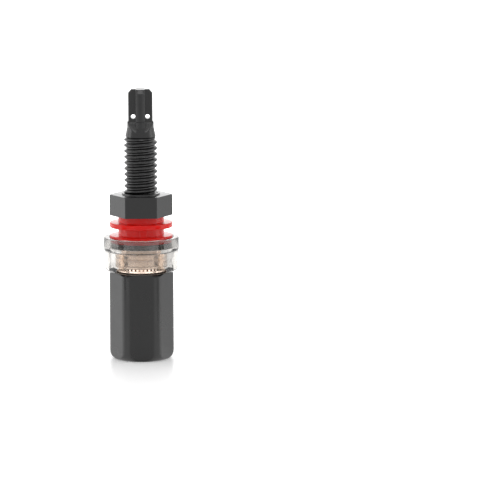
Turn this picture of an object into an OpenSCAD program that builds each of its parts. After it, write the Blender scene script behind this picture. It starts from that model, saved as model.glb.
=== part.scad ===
// Panel-mounting binding post for a 4 mm plug, a spade or bare wire.
// The post stands on the end of its knob, with the rear tail up along +Z.
// The origin is the middle of the knob's end face and the front faces -Y.

/* [Knob] */
// Width of the grip across two flats
knob_af = 13.9; // [13.4:0.1:16]
// Radius that rounds the six corners of the grip
knob_corner_r = 2.5; // [1.2:0.05:3]
// Length of the grip
knob_len = 20.9; // [20:0.1:26]
// Height of the round where the grip meets its end face
end_round = 2.2; // [1.4:0.1:2.6]
// Chamfer on the grip's corners at the collar end
top_chamfer = 0.5; // [0.3:0.05:0.7]
// Radius of the round end disc
disc_r = 6; // [5.9:0.05:6.2]
// Thickness of the end disc
disc_t = 2.2; // [1.8:0.1:2.6]
// Dark gap round the end disc
disc_gap = 0.12; // [0.05:0.01:0.15]
// Radius of the hole that the plug enters by
mouth_r = 2.12; // [2.1:0.01:2.2]
// Number of lobes of the key recess round the mouth
lobes = 8; // [6:1:10]
// Radius of one lobe
lobe_r = 0.58; // [0.4:0.02:0.6]
// Depth of the key recess
lobe_depth = 1.4; // [0.8:0.1:1.6]
// Depth of the shallow dish round the mouth
dish_depth = 0.18; // [0.1:0.01:0.3]
// Outer radius of the sleeve that the grip slips round
sleeve_r = 5.3; // [5.25:0.05:5.4]
// Depth of the sleeve's end below the grip's end, at the collar
sleeve_drop = 0.2; // [0.1:0.05:0.4]

/* [Slip clutch] */
// Thickness of the friction ring
slip_ring_t = 0.8; // [0.6:0.1:1]
// Height left for the wave spring
spring_h = 1.4; // [1.2:0.1:1.8]
// Thickness of the spring's strip
spring_t = 0.3; // [0.2:0.05:0.4]
// Number of waves in the spring
spring_waves = 4; // [3:1:5]
// Height of the retaining clip that holds the grip on its sleeve
clip_t = 0.45; // [0.3:0.05:0.6]
// Depth of the clip's groove in the sleeve
clip_groove = 0.3; // [0.2:0.05:0.4]
// Distance from the sleeve's end down to the clip
clip_drop = 2.1; // [2:0.1:3]
// Angle left open in each retaining clip
clip_gap_angle = 40; // [20:5:70]

/* [Contact] */
// Crest radius of the front thread
barrel_r = 3.3; // [3.2:0.05:3.4]
// Depth of the front thread
barrel_thread = 0.33; // [0.2:0.01:0.4]
// Pitch of the front thread
barrel_pitch = 1; // [0.8:0.05:1.25]
// Radius of the plug socket
socket_r = 2.05; // [2:0.01:2.08]
// Height of the contact barrel's open end above the end face
barrel_z = 4.6; // [4.2:0.1:6]
// Depth of the plug socket
socket_depth = 19.2; // [17:0.1:20]
// Radius of the clamping base
base_r = 6; // [5.6:0.05:6.1]
// Height of the clamping base
base_h = 3.9; // [3.4:0.1:4.4]
// Radius of the neck that passes through the collar
neck_r = 4.75; // [4.4:0.05:5]
// Radius of the spigot that joins the contact to the rear stud
spigot_r = 2.3; // [1.8:0.05:2.4]
// Length of the spigot
spigot_len = 6; // [4:0.5:9]
// Thickness of the clamp ring
clamp_t = 1.05; // [0.9:0.05:1.4]
// Number of radial teeth on the clamping faces
clamp_teeth = 40; // [24:2:48]
// Depth of the radial teeth
tooth_depth = 0.3; // [0.15:0.05:0.4]
// Radius of the clamp ring's hub
hub_r = 4.2; // [4.1:0.05:4.3]
// Length of the clamp ring's hub
hub_len = 1.6; // [1.5:0.1:1.8]
// Outer radius of the brass insert in the knob
insert_r = 4.4; // [4.1:0.05:4.6]
// How far the knob backs off, with its insert still full on the thread
knob_travel = 4.5; // [3:0.5:5]

/* [Collar] */
// Outer radius of the collar at its rim
collar_r = 9; // [8.8:0.1:10]
// Step between the rim and the lower wall
collar_step = 0.2; // [0.1:0.05:0.4]
// Thickness of the rim round the red flange
rim_t = 1.35; // [1:0.05:1.4]
// Thickness of the web that is clamped on the contact
web_t = 1; // [0.8:0.1:1.4]
// Radius that rounds the foot of the collar
foot_round = 1.1; // [0.6:0.1:1.3]
// Width of the two wire notches
notch_w = 12.2; // [9:0.1:13]
// Height of the two wire notches
notch_h = 1.45; // [1:0.05:2.4]
// Gap between the collar's feet and the knob
foot_gap = 0.2; // [0.1:0.05:0.5]

/* [Insulating rings] */
// Gap between the front flange and the collar's recess
flange_gap = 0.15; // [0.05:0.05:0.4]
// Thickness of the front flange
front_flange_t = 1.55; // [1.2:0.05:2]
// Radius of the shoulder that fills the panel hole
shoulder_r = 5.45; // [5.2:0.05:6]
// Height of the shoulder
shoulder_h = 1.95; // [1:0.05:3]
// Width of the shoulder's key
key_w = 1.8; // [1.2:0.1:2.4]
// How far the key stands proud of the shoulder
key_out = 0.45; // [0.3:0.05:0.7]
// Bearing of the key from the front, towards +X
key_angle = 5; // [-20:1:20]
// Thickness of the rear washer's disc
washer_t = 1.15; // [0.8:0.05:1.8]
// Height of the rear washer's boss
boss_h = 1.6; // [1:0.1:2.4]

/* [Rear stud] */
// Gap between the stud's flange and the collar's recess
stud_flange_gap = 0.25; // [0.1:0.05:0.6]
// Thickness of the stud's flange
stud_flange_t = 1.25; // [1:0.05:1.8]
// Crest radius of the rear thread
stud_r = 3.95; // [3.8:0.05:4]
// Depth of the rear thread
stud_thread = 0.55; // [0.4:0.01:0.7]
// Pitch of the rear thread
stud_pitch = 1.385; // [1.25:0.005:1.5]
// Radius at the foot of the cone above the thread
cone_r = 3.65; // [3.4:0.05:3.7]
// Height of the cone above the thread
cone_h = 2.2; // [1.6:0.1:2.6]
// Radius of the neck above the cone
tail_neck_r = 3.19; // [3:0.01:3.3]
// Height of the neck above the cone
tail_neck_h = 1.5; // [1:0.1:2]
// Radius across the ribs of the tail
tail_r = 2.95; // [2.8:0.05:3]
// Length of the ribbed tail
tail_len = 7.6; // [6:0.1:10]
// Radius of the tail's core between the ribs
core_r = 2.35; // [2.3:0.05:2.6]
// Width of one rib
rib_w = 2.1; // [1.8:0.1:2.6]
// Length over which each gap between the ribs runs out in the cone
run_out = 2.4; // [1.8:0.1:2.6]
// Height of the chamfer at the tip
tip_chamfer = 0.9; // [0.6:0.1:1.4]
// Radius of the two wire holes through the tail
wire_hole_r = 0.54; // [0.4:0.02:0.56]
// Distance of each wire hole from the axis
wire_hole_x = 1.7; // [1.64:0.02:1.74]
// Height of the wire holes above the foot of the tail
wire_hole_up = 1.1; // [0.8:0.1:3]

/* [Rear nut] */
// Width of the nut across two flats
nut_af = 13; // [12:0.1:14]
// Thickness of the nut
nut_t = 5; // [4:0.1:6]
// Radius where the nut's chamfer starts
nut_chamfer_r = 7.2; // [6.6:0.05:7.4]
// Outer radius of the lip round the nut's thread
lip_r = 4.55; // [4.4:0.05:5]
// Height of the lip
lip_h = 0.35; // [0.2:0.05:0.6]
// Turns that the nut backs off, still full on its thread
nut_turns = 9; // [4:1:12]

/* [Fits] */
// Radial clearance of a thread in its mate
thread_fit = 0.03; // [0.02:0.01:0.05]
// Radial clearance of a turning or sliding fit
running_fit = 0.05; // [0.03:0.01:0.08]
// Radial clearance of the rings on the rear stud
ring_fit = 0.08; // [0.05:0.01:0.1]
// Radial clearance of a fixed joint
fixed_fit = 0.02; // [0.01:0.01:0.03]
// Axial clearance of a ring or clip in its groove
axial_fit = 0.02; // [0.01:0.01:0.03]
// Clearance round the clamping base inside the collar
collar_fit = 0.2; // [0.1:0.05:0.3]

/* [Hidden] */
$fn = 96;
over = 1;
sliver = 0.01;

// Small edges, walls and clearances that follow from no other size
edge = 0.15;
rim_edge = 0.2;
end_land = 0.15;
end_over = 0.1;
lobe_out = 0.13;
dish_wide = 1.6;
dish_slope = 0.5;
barrel_room = 0.45;
barrel_end_gap = 1.2;
barrel_end_thread = 0.2;
barrel_top_plain = 0.6;
insert_start = 0.3;
clip_pocket = 0.65;
hub_groove = 0.25;
hub_clip_up = 0.35;
hub_clip_out = 0.6;
tooth_share = 0.45;
tooth_inner_gap = 0.3;
base_groove = 0.2;
base_groove_down = 1.15;
mouth_lead = 0.4;
rim_drop = 0.4;
step_down = 0.8;
notch_corner = 1;
spigot_gap = 0.2;
stud_plain = 1.3;
thread_end = 0.25;
run_out_up = 0.3;
run_out_slope = 0.46;
tip_in = 0.15;
nut_slope = 30;
lip_root = 0.5;

// Knob, from its end face up
knob_side = (knob_af / 2 - knob_corner_r) / cos(30);
knob_reach = knob_side + knob_corner_r;
disc_bore_r = disc_r + disc_gap;
end_rim_r = disc_bore_r + end_land;
end_reach = knob_reach + end_over;
core_top = knob_len - sleeve_drop;
shell_bore_r = sleeve_r + running_fit;
ring_r = disc_r - fixed_fit;
ring_z = disc_t + spring_h;
pocket_top = ring_z + slip_ring_t + axial_fit;
ledge_z = core_top - clip_drop - clip_t;
top_pocket_r = sleeve_r + clip_pocket;
dish_r = mouth_r + lobe_r + dish_wide;
lobe_at = mouth_r + lobe_out;
bore_r = barrel_r + barrel_room;
floor_z = barrel_z - barrel_end_gap;

// Clamp ring and contact, from the knob's top up
clamp_z = knob_len + axial_fit;
face_z = clamp_z + clamp_t;
shoulder_z = face_z + base_h;
insert_z = barrel_z + knob_travel + insert_start;
insert_top = clamp_z - hub_len - axial_fit;
hub_groove_r = hub_r - hub_groove;
hub_clip_z = clamp_z - hub_len + hub_clip_up;
hub_clip_r = hub_r + hub_clip_out;
tooth_w = tooth_share * 2 * PI * base_r / clamp_teeth;
base_groove_z = shoulder_z - base_groove_down;

// Collar, stud flange and red rings
collar_z = knob_len + foot_gap;
wall_r = collar_r - collar_step;
web_top = shoulder_z + web_t;
step_z = web_top - step_down;
recess_r = collar_r - rim_t;
flange_r = recess_r - flange_gap;
stud_flange_r = recess_r - stud_flange_gap;
flange_z = web_top + stud_flange_t;
seat_z = flange_z + front_flange_t;
rim_z = seat_z - rim_drop;
washer_z = seat_z + shoulder_h;
ring_bore_r = stud_r + ring_fit;
nut_z = washer_z + washer_t + boss_h;
nut_top = nut_z + nut_t;

// Stud, from its flange up
thread_z = flange_z + stud_plain;
lip_z = nut_top + lip_h;
stud_turns = ceil((lip_z - thread_z) / stud_pitch) + nut_turns;
cone_z = thread_z + stud_turns * stud_pitch + thread_end;
neck_z = cone_z + cone_h;
tail_z = neck_z + tail_neck_h;
tip_z = tail_z + tail_len;
run_top = tail_z + run_out_up;
run_foot = run_top - run_out;

// ---- shared shapes -------------------------------------------------------

// Outline of a hexagon with rounded corners and flats across Y
module rounded_hexagon() {
    for (a = [0:60:120]) rotate(a) square([knob_side, knob_af], center = true);
    for (a = [0:60:300]) rotate(a) translate([knob_side, 0]) circle(knob_corner_r, $fn = 48);
}

// Tube between two heights
module tube(outer, inner, low, high) {
    translate([0, 0, low]) difference() {
        cylinder(h = high - low, r = outer);
        translate([0, 0, -over]) cylinder(h = high - low + 2 * over, r = inner);
    }
}

// Points of a ridged side, from the bottom up: each turn has a root and a crest
function ridge_points(crest, depth, pitch, low, turns) = [
    for (i = [0:turns - 1], p = [[crest - depth, 0.02], [crest - depth, 0.2],
        [crest, 0.48], [crest, 0.72], [crest - depth, 1]])
    [p[0], low + (i + p[1]) * pitch]
];

// Radial bars that cut the teeth of a clamping face
module tooth_bars(low, high) {
    for (i = [0:clamp_teeth - 1]) rotate(i * 360 / clamp_teeth)
        translate([hub_r + tooth_inner_gap, -tooth_w / 2, low])
        cube([base_r - hub_r + over, tooth_w, high - low]);
}

// Open retaining clip lying between two heights
module snap_clip(outer, inner, low, high, bearing) {
    difference() {
        tube(outer, inner, low, high);
        rotate(bearing) translate([0, 0, low - over])
            linear_extrude(high - low + 2 * over)
            polygon([[0, 0],
                [2 * outer * cos(clip_gap_angle / 2), 2 * outer * sin(clip_gap_angle / 2)],
                [2 * outer * cos(clip_gap_angle / 2), -2 * outer * sin(clip_gap_angle / 2)]]);
    }
}

// ---- knob ----------------------------------------------------------------

// Hexagonal grip, turned round at its end face and chamfered at the collar end
module knob_shell() color([0.1, 0.1, 0.11]) difference() {
    end = [for (a = [0:15:90])
        [end_rim_r + (end_reach - end_rim_r) * sin(a), end_round * (1 - cos(a))]];
    intersection() {
        linear_extrude(knob_len) rounded_hexagon();
        rotate_extrude() polygon(concat([[0, 0]], end, [
            [knob_reach + over, end_round], [knob_reach + over, knob_len - top_chamfer - over],
            [knob_reach - top_chamfer, knob_len], [0, knob_len]]));
    }
    translate([0, 0, -over]) cylinder(h = knob_len + 2 * over, r = shell_bore_r);
    translate([0, 0, -over]) cylinder(h = pocket_top + over, r = disc_bore_r);
    translate([0, 0, ledge_z]) cylinder(h = knob_len, r = top_pocket_r);
}

// End disc and sleeve, moulded as one, with the key recess round the mouth
module knob_core() color([0.13, 0.13, 0.14]) difference() {
    rotate_extrude() polygon([
        [mouth_r, dish_depth], [dish_r - dish_slope, dish_depth], [dish_r, 0],
        [disc_r - rim_edge, 0], [disc_r, rim_edge], [disc_r, disc_t], [sleeve_r, disc_t],
        [sleeve_r, ledge_z], [sleeve_r - clip_groove, ledge_z],
        [sleeve_r - clip_groove, ledge_z + clip_t + 2 * axial_fit],
        [sleeve_r, ledge_z + clip_t + 2 * axial_fit], [sleeve_r, core_top],
        [hub_r + running_fit, core_top],
        [hub_r + running_fit, hub_clip_z + clip_t + axial_fit],
        [hub_clip_r + fixed_fit, hub_clip_z + clip_t + axial_fit],
        [hub_clip_r + fixed_fit, hub_clip_z - axial_fit],
        [insert_r + fixed_fit, hub_clip_z - axial_fit],
        [insert_r + fixed_fit, insert_z], [bore_r, insert_z], [bore_r, floor_z],
        [mouth_r, floor_z]]);
    for (i = [0:lobes - 1]) rotate(i * 360 / lobes) translate([lobe_at, 0, -over])
        cylinder(h = lobe_depth + over, r = lobe_r, $fn = 32);
}

// Friction ring that the spring presses on the grip's shoulder
module slip_ring() color([0.75, 0.72, 0.62])
    tube(ring_r, shell_bore_r + fixed_fit, ring_z, ring_z + slip_ring_t);

// Wave spring, a strip that rises and falls round the sleeve
module wave_spring() {
    steps = 96;
    swing = (spring_h - spring_t) / 2 - axial_fit;
    function wave_z(i) = disc_t + spring_h / 2 + swing * cos(spring_waves * i * 360 / steps);
    function corner(i, r, up) = [r * cos(i * 360 / steps), r * sin(i * 360 / steps),
        wave_z(i) + up];
    inner = shell_bore_r + running_fit;
    points = [for (i = [0:steps - 1], c = [[inner, -1], [ring_r, -1], [ring_r, 1], [inner, 1]])
        corner(i, c[0], c[1] * spring_t / 2)];
    faces = [for (i = [0:steps - 1], k = [0:3], half = [0, 1])
        let (j = (i + 1) % steps, n = (k + 1) % 4)
        half == 0 ? [4 * i + k, 4 * j + k, 4 * j + n] : [4 * i + k, 4 * j + n, 4 * i + n]];
    color([0.7, 0.7, 0.72]) polyhedron(points, faces, convexity = 4);
}

// Retaining clip that keeps the grip on its sleeve
module core_clip() color([0.7, 0.7, 0.72])
    snap_clip(top_pocket_r - running_fit, sleeve_r - clip_groove + fixed_fit,
        ledge_z + axial_fit, ledge_z + axial_fit + clip_t, 200);

// Threaded brass insert, pressed in the sleeve
module thread_insert() color([0.83, 0.68, 0.4])
    tube(insert_r, barrel_r + thread_fit, insert_z, insert_top);

// Clip that ties the clamp ring to the knob and lets it swivel
module swivel_clip() color([0.7, 0.7, 0.72])
    snap_clip(hub_clip_r, hub_groove_r + running_fit, hub_clip_z, hub_clip_z + clip_t, 20);

// ---- contact -------------------------------------------------------------

// Toothed clamp ring with the grooved hub that the swivel clip holds
module clamp_ring() color([0.86, 0.72, 0.6]) difference() {
    rotate_extrude() polygon([
        [barrel_r + running_fit, clamp_z - hub_len], [hub_r, clamp_z - hub_len],
        [hub_r, hub_clip_z - axial_fit], [hub_groove_r, hub_clip_z - axial_fit],
        [hub_groove_r, hub_clip_z + clip_t + axial_fit],
        [hub_r, hub_clip_z + clip_t + axial_fit], [hub_r, clamp_z], [base_r - edge, clamp_z],
        [base_r, clamp_z + edge], [base_r, face_z], [barrel_r + running_fit, face_z]]);
    tooth_bars(face_z - tooth_depth, face_z + over);
}

// Contact: threaded barrel with the plug socket, clamping base, neck and spigot
module contact_post() color([0.88, 0.7, 0.55]) difference() {
    rotate_extrude() polygon(concat(
        [[0, barrel_z], [barrel_r - barrel_thread, barrel_z]],
        ridge_points(barrel_r, barrel_thread, barrel_pitch, barrel_z + barrel_end_thread,
            floor((face_z - barrel_z - barrel_top_plain) / barrel_pitch)),
        [[barrel_r - barrel_thread, face_z], [base_r, face_z],
            [base_r, base_groove_z - base_groove], [base_r - edge, base_groove_z - base_groove],
            [base_r - edge, base_groove_z], [base_r, base_groove_z],
            [base_r, shoulder_z], [neck_r, shoulder_z], [neck_r, web_top],
            [spigot_r, web_top], [spigot_r, web_top + spigot_len], [0, web_top + spigot_len]]));
    translate([0, 0, barrel_z - over]) cylinder(h = socket_depth + over, r = socket_r);
    translate([0, 0, barrel_z - sliver])
        cylinder(h = mouth_lead + sliver, r1 = socket_r + mouth_lead + sliver, r2 = socket_r);
    tooth_bars(face_z - over, face_z + tooth_depth);
}

// ---- collar and red rings -------------------------------------------------

// Outline of a wire notch, with rounded upper corners
module notch_outline() {
    flat = notch_w / 2 - notch_corner;
    translate([-notch_w / 2, -over]) square([notch_w, notch_h - notch_corner + over]);
    translate([-flat, -over]) square([2 * flat, notch_h + over]);
    for (s = [-1, 1]) translate([s * flat, notch_h - notch_corner])
        circle(notch_corner, $fn = 48);
}

// Clear collar: recess for the red flange, web, thick wall, feet and notches
module collar() color([0.55, 0.48, 0.44, 0.5]) difference() {
    foot = [for (a = [0:15:90])
        [wall_r - foot_round + foot_round * sin(a),
            collar_z + foot_round - foot_round * cos(a)]];
    rotate_extrude() polygon(concat(
        [[base_r + collar_fit, collar_z]], foot,
        [[wall_r, step_z], [collar_r, step_z + collar_step], [collar_r, rim_z - rim_edge],
            [collar_r - rim_edge, rim_z], [recess_r + edge, rim_z], [recess_r, rim_z - edge],
            [recess_r, web_top], [neck_r + running_fit, web_top],
            [neck_r + running_fit, shoulder_z], [base_r + collar_fit, shoulder_z]]));
    for (s = [0, 180]) rotate(s) translate([0, 0, collar_z]) rotate([90, 0, 0])
        linear_extrude(collar_r + over) notch_outline();
}

// Red front bush: flange in the collar, shoulder and key for the panel hole
module front_bush() color([0.85, 0.1, 0.08]) difference() {
    union() {
        translate([0, 0, flange_z]) cylinder(h = front_flange_t, r = flange_r);
        translate([0, 0, seat_z]) cylinder(h = shoulder_h, r = shoulder_r);
        rotate(key_angle) translate([-key_w / 2, -shoulder_r - key_out, seat_z])
            cube([key_w, shoulder_r, shoulder_h]);
    }
    translate([0, 0, flange_z - over])
        cylinder(h = front_flange_t + shoulder_h + 2 * over, r = ring_bore_r);
}

// Red rear washer: disc against the panel, boss against the nut
module rear_washer() color([0.9, 0.12, 0.1]) difference() {
    union() {
        translate([0, 0, washer_z]) cylinder(h = washer_t, r = flange_r);
        translate([0, 0, washer_z]) cylinder(h = washer_t + boss_h, r = shoulder_r);
    }
    translate([0, 0, washer_z - over])
        cylinder(h = washer_t + boss_h + 2 * over, r = ring_bore_r);
}

// ---- rear stud and nut ----------------------------------------------------

// Spaces between the four ribs, whose floors slope out through the neck to the cone
module rib_gaps() {
    difference() {
        for (a = [0:90:270]) rotate(a) translate([rib_w / 2, rib_w / 2, run_foot])
            cube([tail_r + over, tail_r + over, tip_z - run_foot + over]);
        translate([0, 0, run_top - sliver]) cylinder(h = tip_z, r = core_r);
        translate([0, 0, run_foot - sliver])
            cylinder(h = run_out + sliver, r1 = (core_r + run_out_slope * run_out) / cos(45),
                r2 = core_r / cos(45), $fn = 4);
    }
}

// Black stud: flange, threaded shank, cone, neck and four-ribbed tail
module rear_stud() color([0.12, 0.12, 0.13]) difference() {
    rotate_extrude() polygon(concat(
        [[0, web_top], [stud_flange_r, web_top], [stud_flange_r, flange_z],
            [stud_r - stud_thread, flange_z]],
        ridge_points(stud_r, stud_thread, stud_pitch, thread_z, stud_turns),
        [[stud_r - stud_thread, cone_z], [cone_r, cone_z], [tail_neck_r, neck_z],
            [tail_neck_r, tail_z - edge], [tail_r, tail_z], [tail_r, tip_z - tip_chamfer],
            [core_r - tip_in, tip_z], [0, tip_z]]));
    rib_gaps();
    for (s = [-1, 1]) translate([s * wire_hole_x, 0, tail_z + wire_hole_up])
        rotate([90, 0, 0]) cylinder(h = 4 * tail_r, r = wire_hole_r, center = true, $fn = 48);
    translate([0, 0, web_top - over])
        cylinder(h = spigot_len + spigot_gap + over, r = spigot_r + fixed_fit);
}

// Hexagonal rear nut, chamfered on top, with a low lip round its thread
module rear_nut() color([0.14, 0.14, 0.15]) difference() {
    union() {
        intersection() {
            translate([0, 0, nut_z]) cylinder(h = nut_t, r = nut_af / 2 / cos(30), $fn = 6);
            rotate_extrude() polygon([
                [0, nut_z], [nut_af, nut_z],
                [nut_af, nut_top - (nut_af - nut_chamfer_r) * tan(nut_slope)],
                [nut_chamfer_r, nut_top], [0, nut_top]]);
        }
        translate([0, 0, nut_top - lip_root]) cylinder(h = lip_h + lip_root, r = lip_r);
    }
    translate([0, 0, nut_z - over])
        cylinder(h = lip_z - nut_z + 2 * over, r = stud_r + thread_fit);
}

knob_shell();
knob_core();
slip_ring();
wave_spring();
core_clip();
thread_insert();
swivel_clip();
clamp_ring();
contact_post();
rear_stud();
collar();
front_bush();
rear_washer();
rear_nut();
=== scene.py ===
import math

import bmesh
import bpy
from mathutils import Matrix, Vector


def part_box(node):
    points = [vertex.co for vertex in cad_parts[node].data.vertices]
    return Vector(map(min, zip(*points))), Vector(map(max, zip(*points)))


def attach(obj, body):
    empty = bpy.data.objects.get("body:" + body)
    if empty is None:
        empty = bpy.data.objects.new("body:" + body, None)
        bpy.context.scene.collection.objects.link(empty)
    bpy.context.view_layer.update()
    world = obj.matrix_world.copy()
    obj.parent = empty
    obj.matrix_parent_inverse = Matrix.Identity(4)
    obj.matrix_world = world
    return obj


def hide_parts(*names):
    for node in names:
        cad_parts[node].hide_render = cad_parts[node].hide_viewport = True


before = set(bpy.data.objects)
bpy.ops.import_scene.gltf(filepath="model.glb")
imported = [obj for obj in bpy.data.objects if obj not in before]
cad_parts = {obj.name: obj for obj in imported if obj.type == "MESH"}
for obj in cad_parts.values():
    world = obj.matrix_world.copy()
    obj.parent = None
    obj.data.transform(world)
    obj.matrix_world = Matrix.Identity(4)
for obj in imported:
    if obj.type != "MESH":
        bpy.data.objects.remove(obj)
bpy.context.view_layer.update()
scene = bpy.context.scene
mm = 0.001


# ---- Contact ---------------------------------------------------------------
# One turned piece of plated copper: the socket barrel with its thread, the toothed clamping base
# and the neck that carries the collar. It is turned from bar, milled with radial teeth and plated.

def shader_group(name, inputs, outputs):
    """An empty shader node group with named value inputs, and the named outputs."""
    group = bpy.data.node_groups.new(name, "ShaderNodeTree")
    for label, start in inputs.items():
        socket = group.interface.new_socket(label, in_out="INPUT", socket_type="NodeSocketFloat")
        socket.default_value = start
    for label in outputs:
        group.interface.new_socket(label, in_out="OUTPUT", socket_type="NodeSocketFloat")
    return group


def joined(tree, kind, settings=None, **sockets):
    """A node of a tree, with its settings, and its sockets set or linked by name."""
    node = tree.nodes.new(kind)
    for label, value in (settings or {}).items():
        setattr(node, label, value)
    for label, value in sockets.items():
        found = next(s for s in node.inputs if s.enabled and s.name == label.replace("_", " "))
        if isinstance(value, bpy.types.NodeSocket):
            tree.links.new(value, found)
        else:
            found.default_value = value
    return node


def sum_of(tree, operation, *values, clamp=False):
    """The result of a Math node on numbers or sockets."""
    node = tree.nodes.new("ShaderNodeMath")
    node.operation = operation
    node.use_clamp = clamp
    for socket, value in zip(node.inputs, values):
        if isinstance(value, bpy.types.NodeSocket):
            tree.links.new(value, socket)
        else:
            socket.default_value = value
    return node.outputs[0]


def surface_cloud():
    """Shader group: a soft cloud over the surface, which shifts a roughness up and down."""
    group = shader_group("surface_cloud", {"Size": 4.0, "Smooth": 0.2, "Dull": 0.3},
                         ["Roughness", "Cloud"])
    start = group.nodes.new("NodeGroupInput").outputs
    end = group.nodes.new("NodeGroupOutput").inputs
    place = group.nodes.new("ShaderNodeTexCoord")
    cloud = joined(group, "ShaderNodeTexNoise", Vector=place.outputs["Object"],
                   Scale=start["Size"], Detail=3.0, Roughness=0.55)
    spread = joined(group, "ShaderNodeMapRange", Value=cloud.outputs["Fac"], From_Min=0.35, From_Max=0.65,
                    To_Min=start["Smooth"], To_Max=start["Dull"])
    group.links.new(spread.outputs["Result"], end["Roughness"])
    group.links.new(cloud.outputs["Fac"], end["Cloud"])
    return group


def tool_lines():
    """Shader group: the fine rings that a lathe tool leaves round a turned face and along a bar."""
    group = shader_group("tool_lines", {"Lines": 9000.0}, ["Height"])
    start = group.nodes.new("NodeGroupInput").outputs
    end = group.nodes.new("NodeGroupOutput").inputs
    place = group.nodes.new("ShaderNodeTexCoord")
    apart = joined(group, "ShaderNodeSeparateXYZ", Vector=place.outputs["Object"])
    across = sum_of(group, "SQRT", sum_of(group, "ADD", sum_of(group, "POWER", apart.outputs["X"], 2.0),
                                          sum_of(group, "POWER", apart.outputs["Y"], 2.0)))
    travel = sum_of(group, "ADD", apart.outputs["Z"], across)
    lines = joined(group, "ShaderNodeTexNoise", {"noise_dimensions": "1D"}, W=travel,
                   Scale=start["Lines"], Detail=2.0, Roughness=0.6)
    group.links.new(lines.outputs["Fac"], end["Height"])
    return group


cloud_group = surface_cloud()
lines_group = tool_lines()
relief_depth = 0.01 * mm
weld_distance = 0.0005 * mm
sharp_angle = 32


def new_finish(name, colour, darker, size, smooth, dull, relief=None, **settings):
    """A material whose colour and roughness drift slightly over the surface, with a fine relief."""
    material = bpy.data.materials.new(name)
    material.use_nodes = True
    tree = material.node_tree
    shader = tree.nodes["Principled BSDF"]
    for label, value in settings.items():
        shader.inputs[label.replace("_", " ")].default_value = value
    drift = joined(tree, "ShaderNodeGroup", {"node_tree": cloud_group},
                   Size=size, Smooth=smooth, Dull=dull)
    blend = joined(tree, "ShaderNodeMix", {"data_type": "RGBA"}, Factor=drift.outputs["Cloud"])
    first, second = [s for s in blend.inputs if s.type == "RGBA"]
    first.default_value = (*colour, 1)
    second.default_value = (*darker, 1)
    result = next(s for s in blend.outputs if s.type == "RGBA")
    tree.links.new(result, shader.inputs["Base Color"])
    tree.links.new(drift.outputs["Roughness"], shader.inputs["Roughness"])
    if relief:
        group, label, amount, strength = relief
        source = joined(tree, "ShaderNodeGroup", {"node_tree": group}, **{label: amount})
        bump = joined(tree, "ShaderNodeBump", Strength=strength, Distance=relief_depth,
                      Height=source.outputs["Height"])
        tree.links.new(bump.outputs["Normal"], shader.inputs["Normal"])
    return material


def polar_body(name, bearings, rows):
    """A closed mesh from rows of radius and height, each a number or a function of the bearing.
    The rows go round the profile, and end where they began or start and end on the axis."""
    if isinstance(bearings, int):
        bearings = [2 * math.pi * i / bearings for i in range(bearings)]
    turns = list(bearings) + [bearings[0]]

    def at(value, turn):
        return value(turn) if callable(value) else value

    points = [(at(r, t) * math.cos(t), at(r, t) * math.sin(t), at(z, t)) for r, z in rows for t in turns]
    width = len(turns)
    faces = []
    for i in range(len(rows) - 1):
        for j in range(width - 1):
            k = i * width + j
            faces.append((k, k + 1, k + 1 + width, k + width))
    mesh = bpy.data.meshes.new(name)
    mesh.from_pydata(points, [], faces)
    return weld(name, mesh)


def weld(name, mesh):
    """Merges a mesh's doubles, turns its faces outwards and makes it an object."""
    work = bmesh.new()
    work.from_mesh(mesh)
    bmesh.ops.remove_doubles(work, verts=work.verts, dist=weld_distance)
    bmesh.ops.dissolve_degenerate(work, edges=work.edges, dist=weld_distance)
    bmesh.ops.delete(work, geom=[e for e in work.edges if not e.link_faces], context="EDGES")
    bmesh.ops.recalc_face_normals(work, faces=work.faces)
    work.to_mesh(mesh)
    work.free()
    mesh.shade_smooth()
    mesh.set_sharp_from_angle(angle=math.radians(sharp_angle))
    piece = bpy.data.objects.new(name, mesh)
    scene.collection.objects.link(piece)
    return piece


def rounded(corners, steps=6):
    """Profile points of a run of corners (radius, height, rounding), each turned as an arc."""
    points = []
    count = len(corners)
    for i, (r, z, fillet) in enumerate(corners):
        if not fillet:
            points.append((r, z))
            continue
        before, after = corners[i - 1], corners[(i + 1) % count]
        back = (before[0] - r, before[1] - z)
        ahead = (after[0] - r, after[1] - z)
        back = (back[0] / math.hypot(*back), back[1] / math.hypot(*back))
        ahead = (ahead[0] / math.hypot(*ahead), ahead[1] / math.hypot(*ahead))
        half = math.acos(max(-1, min(1, back[0] * ahead[0] + back[1] * ahead[1]))) / 2
        reach = fillet / math.tan(half)
        middle = fillet / math.sin(half)
        lean = (back[0] + ahead[0], back[1] + ahead[1])
        size = math.hypot(*lean)
        centre = (r + lean[0] / size * middle, z + lean[1] / size * middle)
        first = math.atan2(z + back[1] * reach - centre[1], r + back[0] * reach - centre[0])
        last = math.atan2(z + ahead[1] * reach - centre[1], r + ahead[0] * reach - centre[0])
        sweep = (last - first + math.pi) % (2 * math.pi) - math.pi
        for k in range(steps + 1):
            turn = first + sweep * k / steps
            points.append((centre[0] + fillet * math.cos(turn), centre[1] + fillet * math.sin(turn)))
    return points


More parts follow.
